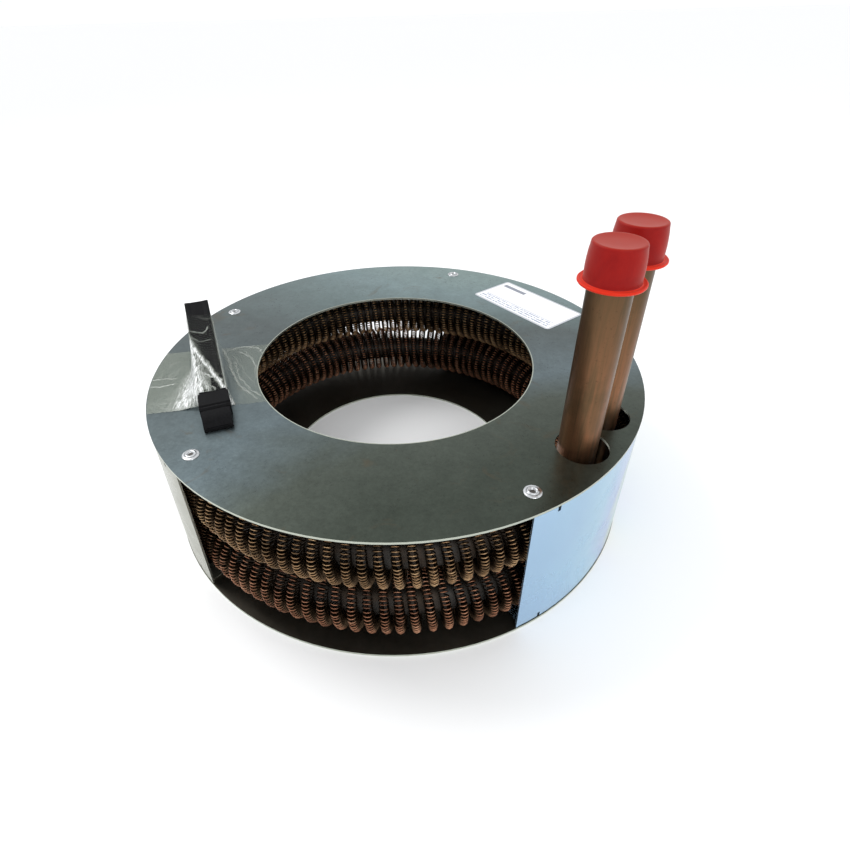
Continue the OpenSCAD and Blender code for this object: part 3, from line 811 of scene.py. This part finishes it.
def bar(long, wide, tall, cuts_along, cuts_across):
    """Make a box from x = 0, centred on y = 0, standing on z = 0, and cut it into a grid of faces."""
    bm = bmesh.new()
    bmesh.ops.create_cube(bm, size=1.0)
    bmesh.ops.translate(bm, vec=(0.5, 0, 0.5), verts=bm.verts)
    bmesh.ops.scale(bm, vec=(long, wide, tall), verts=bm.verts)
    for axis, size, cuts in ((0, long, cuts_along), (1, wide, cuts_across)):
        edges = [e for e in bm.edges if abs(e.verts[0].co[axis] - e.verts[1].co[axis]) > 0.3 * size]
        bmesh.ops.subdivide_edges(bm, edges=edges, cuts=cuts, use_grid_fill=True)
    return bm


def strap_top(run):
    """Give the height of the strap's top above the plate."""
    share = (run - STRAP_FOOT) / (STRAP_END - STRAP_FOOT)
    rise = (run - STRAP_FOOT) * math.tan(STRAP_RISE)
    return STRAP_BASE + STRAP_THICK + rise - STRAP_BOW * math.sin(math.pi * min(max(share, 0.0), 1.0))


def on_the_plate(bm, sharp, offset):
    """Bevel the edges that are sharper than an angle, and set the bar down along the strap's line."""
    rim = [e for e in bm.edges if len(e.link_faces) == 2 and e.calc_face_angle(0) > sharp]
    bmesh.ops.bevel(bm, geom=rim, offset=offset, affect="EDGES", segments=2, profile=0.5, material=-1)
    bmesh.ops.transform(bm, matrix=strap_frame, verts=bm.verts)
    bmesh.ops.recalc_face_normals(bm, faces=bm.faces)
    return bm


def shaped_strap():
    bm = bar(STRAP_END - STRAP_FOOT, STRAP_WIDE, STRAP_THICK, 31, 7)
    for vert in bm.verts:
        on_top = vert.co.z > STRAP_THICK / 2
        if on_top and abs(vert.co.y) < 0.36 * STRAP_WIDE:
            vert.co.z -= STRAP_LIP
        vert.co.z += strap_top(vert.co.x + STRAP_FOOT) - STRAP_THICK
        vert.co.x += STRAP_FOOT
    return on_the_plate(bm, 1.0, 0.3 * MM)


print("strap", round((STRAP_END - STRAP_FOOT) / MM), "mm long")

# %% [markdown]
# ### The hook
# The hook is a stout block that the strap's foot slides into. Its nose is rounded and a little narrower,
# and two grooves cross its top. Close cuts along the bar let one rule for the height give all three.

# %% Shape the hook
HOOK_LONG, HOOK_WIDE, HOOK_TALL, HOOK_GAP = 30 * MM, 18.8 * MM, 9.0 * MM, 0.15 * MM
HOOK_GROOVES, GROOVE_DEEP, GROOVE_HALF = (12.6 * MM, 15.8 * MM), 1.5 * MM, 0.9 * MM
HOOK_NOSE, NOSE_STEP, NOSE_NARROW = 12.0 * MM, 0.8 * MM, 0.92


def hook_top(run):
    """Give the height of the hook's top: a rounded nose, then flat, with two grooves across it."""
    nose = max(0.0, 1 - run / HOOK_NOSE)
    step = NOSE_STEP if run < HOOK_GROOVES[0] else 0.0
    height = HOOK_TALL * math.sqrt(max(0.0, 1 - 0.86 * nose ** 1.9)) - step
    for groove in HOOK_GROOVES:
        height -= GROOVE_DEEP * max(0.0, 1 - abs(run - groove) / GROOVE_HALF)
    return height


def shaped_hook():
    bm = bar(HOOK_LONG, HOOK_WIDE, HOOK_TALL, 79, 5)
    for vert in bm.verts:
        lift = vert.co.z / HOOK_TALL
        vert.co.z = HOOK_GAP + lift * (hook_top(vert.co.x) - HOOK_GAP)
        if vert.co.x < HOOK_GROOVES[0]:
            vert.co.y *= NOSE_NARROW
    return on_the_plate(bm, 1.2, 0.35 * MM)


def black_plastic(name, grain_scale):
    finish = Finish(name, IOR=1.45, Specular_IOR_Level=0.06)
    grain = finish.noise(grain_scale, 3, 0.6)
    dust = finish.ramp(finish.noise(90, 4, 0.7, warp=0.5), [(0.60, 0.0), (0.85, 0.14)])
    colour = finish.ramp(grain, [(0.3, (0.004, 0.004, 0.0045)), (0.7, (0.009, 0.009, 0.010))])
    finish.colour(finish.mix(dust, colour, (0.05, 0.05, 0.048)))
    finish.roughness(finish.steer(grain, 0.40, 0.58))
    finish.bump(grain, 0.25, 0.08 * MM)
    return finish


for name, bm, grain, stands_for in (
        ("strap_bar", shaped_strap(), 700, "fixing_strap"), ("hook_block", shaped_hook(), 900, "strap_hook")):
    plastic = black_plastic(name.split("_")[0] + "_black", grain)
    piece(name, bm, plastic, "casing", [stands_for], smooth=False)

# %% [markdown]
# ## Clear film
# Cling film holds the strap down while the unit travels. It lies flat on the plate, rises over the strap
# like a small tent, and crinkles white along the folds. It could be a cloth simulation, but the creases are
# known by their places, so a grid is lifted point by point instead. Two attributes go with it: how white a
# fold is, and how much of a veil the film makes, since it looks milky on the plate and clear on black.

# %% Lay out the film
FILM_ANGLE, FILM_ORIGIN = math.radians(7.2), Vector((-127 * MM, -19 * MM, 0))
FILM_OUT, FILM_IN, FILM_HALF, FILM_CUT = -62 * MM, 48 * MM, 38 * MM, 104 * MM
FILM_TURN = STRAP_HEADING - FILM_ANGLE - math.pi / 2
film_turn = Matrix.Rotation(FILM_ANGLE, 4, "Z")
strap_in_film = film_turn.inverted() @ (STRAP_START - FILM_ORIGIN)
FILM_CELLS, FILM_THICK, FILM_CLEAR, FILM_TRIM = (190, 140), 0.05 * MM, 0.08 * MM, 1.2 * MM
FAN_TIP, FAN_HEADING, FAN_SPREAD, FAN_LONG = (-15.0, 24.0), 0.11, 0.20, 66
CREASE_TAIL, CREASE_WANDER, TENT_LONG = 0.14, 1.1, 66 * MM
CREASES = [
    (((-13, 12), (-6, 0), (2, -12), (9, -24), (17, -37)), 1.7, 0.95),
    (((-13, 12), (-9, -2), (-6, -16), (-7, -30)), 1.5, 0.9),
    (((-14, 6), (-13, -14), (-18, -34)), 1.6, 0.9),
    (((-2, -16), (4, -20), (11, -23)), 0.8, 0.7),
    (((-6, -22), (2, -26), (8, -31)), 0.6, 0.6),
    (((-12, 22), (-4, 20), (-1, 26)), 0.5, 0.55),
    (((3, 36), (9, 20), (13, 2), (19, -14), (27, -26)), 0.8, 0.5),
    (((6, 33), (15, 37), (26, 37)), 0.7, 0.5),
    (((15, 31), (25, 20), (31, 0), (34, -22)), 0.8, 0.45),
    (((14, 16), (18, -4), (26, -20), (34, -30)), 0.7, 0.45),
    (((20, 30), (27, 14), (30, -8)), 0.5, 0.35),
    (((22, 36), (29, 33), (33, 24), (35, 8)), 0.7, 0.45),
    (((10, 28), (17, 14), (22, -2), (30, -16)), 0.45, 0.35),
    (((16, -8), (22, -20), (32, -33)), 0.9, 0.4),
    (((-9, 36), (-2, 33), (2, 35)), 0.4, 0.3),
    (((-12, 17), (-6, 12), (1, 14)), 0.4, 0.4),
    (((-4, -8), (1, -18), (-2, -28)), 0.45, 0.5),
    (((-9, -22), (-1, -23), (9, -18)), 0.4, 0.45),
    (((-41, 1.4), (-33, 2.2), (-25, 0.8)), 0.4, 0.8),
    (((-40, -6.8), (-32, -7.6), (-25, -5.2)), 0.45, 0.8),
    (((-25, -26), (-19, -25.5), (-14, -25.7)), 0.4, 0.35),
]


def strap_run(u, v):
    """Tell how far along the strap, and how far to its right, a place on the film lies."""
    du, dv = u - strap_in_film.x, v - strap_in_film.y
    ahead = Vector((-math.sin(FILM_TURN), math.cos(FILM_TURN)))
    return du * ahead.x + dv * ahead.y, du * ahead.y - dv * ahead.x


def wave(x, y, z):
    return noise.noise(Vector((x, y, z)))


def held_between(value, low=0.0, high=1.0):
    return max(low, min(high, value))


def crease_white(u, v):
    """Find the whiteness at a place from its creases. Each is a bent line, with a width and a strength."""
    wander = Vector((wave(u * 300, v * 300, 0.0), wave(u * 300, v * 300, 9.0)))
    here, best = Vector((u / MM, v / MM)) + wander * CREASE_WANDER, 0.0
    for points, width, strength in CREASES:
        for start, end in zip(points, points[1:]):
            a, b = Vector(start), Vector(end)
            along = held_between((here - a).dot(b - a) / (b - a).length_squared)
            gap = (here - a.lerp(b, along)).length
            best = max(best, strength * math.exp(-(gap / width) ** 2))
    return max(0.0, best - CREASE_TAIL) / (1 - CREASE_TAIL)


def fan_white(u, v):
    """Find the whiteness of the fibres that spread from a pinched point beside the strap."""
    du, dv = u / MM - FAN_TIP[0], FAN_TIP[1] - v / MM
    away, spread = math.hypot(du, dv), math.atan2(du, dv)
    inside = math.exp(-((spread - FAN_HEADING) / FAN_SPREAD) ** 2) * min(1.0, away / 12)
    inside *= held_between((FAN_LONG - away) / 10)
    fibre = wave(spread * 30, away * 0.05, 3.0) * 0.6 + wave(spread * 85, away * 0.1, 8.0) * 0.5
    return min(1.0, 1.7 * inside * held_between(0.68 + fibre * 1.1))


def film_shape(u, v):
    """Find the film's height above the plate, its whiteness and its veil at a place on it."""
    run, side = strap_run(u, v)
    tail = held_between((run - HOOK_LONG + 4 * MM) / (7 * MM))
    top = (max(strap_top(run), HOOK_TALL) if run < HOOK_LONG + 4 * MM else strap_top(run)) + 0.3 * MM
    beyond = max(0.0, abs(side) - STRAP_WIDE / 2 - 0.5 * MM)
    openness = held_between(1 - (run - HOOK_LONG) / TENT_LONG)
    reach = (2.0 + (11.0 if side < 0 else 9.0) * openness ** 1.4) * MM
    fall = max(0.0, 1 - beyond / reach)
    edge_gap = (abs(side) - STRAP_WIDE / 2 - 0.4 * MM) / (0.55 * MM)
    edge_white = 0.55 * math.exp(-edge_gap ** 2) * (0.4 + 0.6 * openness)
    slope = math.sin(math.pi * min(1.0, beyond / reach)) if beyond > 0 else 0.0
    crinkle = wave(u * 90, v * 260, 1.3) * 0.5 + wave(u * 240, v * 900, 7.7) * 0.3
    white = max(crease_white(u, v), fan_white(u, v) if side < 0 else 0.0, 0.03 * slope, edge_white)
    lift = top * fall ** 1.5 * tail + slope * crinkle * 0.9 * MM * tail + white * 0.35 * MM * (beyond > 0)
    lift += 0.12 * MM * (1 - fall) * max(0.0, wave(u * 60, v * 60, 4.0))
    veil = 0.02 if beyond == 0 else (0.10 + 0.90 * (1 - fall)) * (1.0 if side < 0 else 0.55)
    return max(FILM_CLEAR, lift + FILM_CLEAR), min(1.0, white), veil * (0.3 + 0.7 * (1 - fall))


print("film", len(CREASES), "creases")

# %% [markdown]
# ### Draping the film
# The grid is lifted to the film's shape, turned into place, and cut where it would pass the rim or the air
# hole. Corners close to the cut are drawn onto it, so the film ends in a clean curve.

# %% Drape the film


def draped_film():
    bm = bmesh.new()
    bmesh.ops.create_grid(bm, x_segments=FILM_CELLS[0], y_segments=FILM_CELLS[1], size=0.5)
    crease, veil = bm.verts.layers.float.new("crease"), bm.verts.layers.float.new("veil")
    for vert in bm.verts:
        u = FILM_OUT + (vert.co.x + 0.5) * (FILM_IN - FILM_OUT)
        v = vert.co.y * 2 * FILM_HALF
        lift, vert[crease], vert[veil] = film_shape(u, v)
        vert.co = Vector((u, v, CASE_TOP + lift))
    bmesh.ops.transform(bm, matrix=Matrix.Translation(FILM_ORIGIN) @ film_turn, verts=bm.verts)
    outside = []
    for vert in bm.verts:
        flat = Vector((vert.co.x, vert.co.y, 0))
        held = flat.normalized() * held_between(flat.length, AIR_HOLE_R + 0.3 * MM, CASE_R - 0.5 * MM)
        if (held - flat).length > FILM_TRIM:
            outside.append(vert)
        vert.co.x, vert.co.y = held.x, held.y
    bmesh.ops.delete(bm, geom=outside, context="VERTS")
    bmesh.ops.dissolve_degenerate(bm, dist=0.02 * MM, edges=bm.edges)
    bmesh.ops.remove_doubles(bm, verts=bm.verts, dist=0.02 * MM)
    return bm


print("film cut to", round(2 * FILM_HALF / MM), "by", round(FILM_CUT / MM), "mm")

# %% [markdown]
# ### Clear plastic
# Where the film lies flat it is a faint grey green veil, and where it is creased it turns white and opaque.
# Stretched noise breaks the creases into fibres, and warped noise adds faint arcs. The film is so thin that
# alpha does better than glass, which would darken the plate below it.

# %% Finish the film
FILM_TINT, FILM_WHITE = (0.36, 0.40, 0.33), (0.95, 0.96, 0.97)
VEIL_SHARE, LEAST_ALPHA, MOST_ALPHA = 0.21, 0.008, 0.95
film_finish = Finish("clear_film", IOR=1.40)
film_crease = film_finish.node("ShaderNodeAttribute", attribute_name="crease").outputs["Fac"]
film_veil = film_finish.node("ShaderNodeAttribute", attribute_name="veil").outputs["Fac"]
film_fibres = film_finish.noise(230, 4, 0.7, stretch=(8, 1, 1), warp=0.35)
film_fibres = film_finish.ramp(film_fibres, [(0.38, 0.25), (0.55, 1.0)])
film_arcs = film_finish.ramp(film_finish.noise(34, 3, 0.6, warp=3.0), [(0.55, 0.0), (0.62, 0.3), (0.68, 0.0)])
film_arcs = film_finish.product(film_arcs, film_finish.product(film_veil, 0.3))
film_white = film_finish.product(film_crease, film_fibres, clamp=True)
film_white = film_finish.sums("ADD", film_white, film_arcs, clamp=True)
film_finish.colour(film_finish.mix(film_white, FILM_TINT, FILM_WHITE))
film_alpha = film_finish.sums("ADD", film_finish.product(film_veil, VEIL_SHARE), LEAST_ALPHA)
film_clear = film_finish.sums("SUBTRACT", MOST_ALPHA, film_alpha)
film_alpha = film_finish.sums("ADD", film_alpha, film_finish.product(film_white, film_clear), clamp=True)
film_finish.feed(film_finish.shader.inputs["Alpha"], film_alpha)
film_finish.roughness(film_finish.steer(film_fibres, 0.12, 0.30))
film = piece("film_wrap", draped_film(), film_finish, "casing", ["clear_film"])
film_wall = film.modifiers.new("wall", "SOLIDIFY")
film_wall.thickness, film_wall.offset = FILM_THICK, 1.0
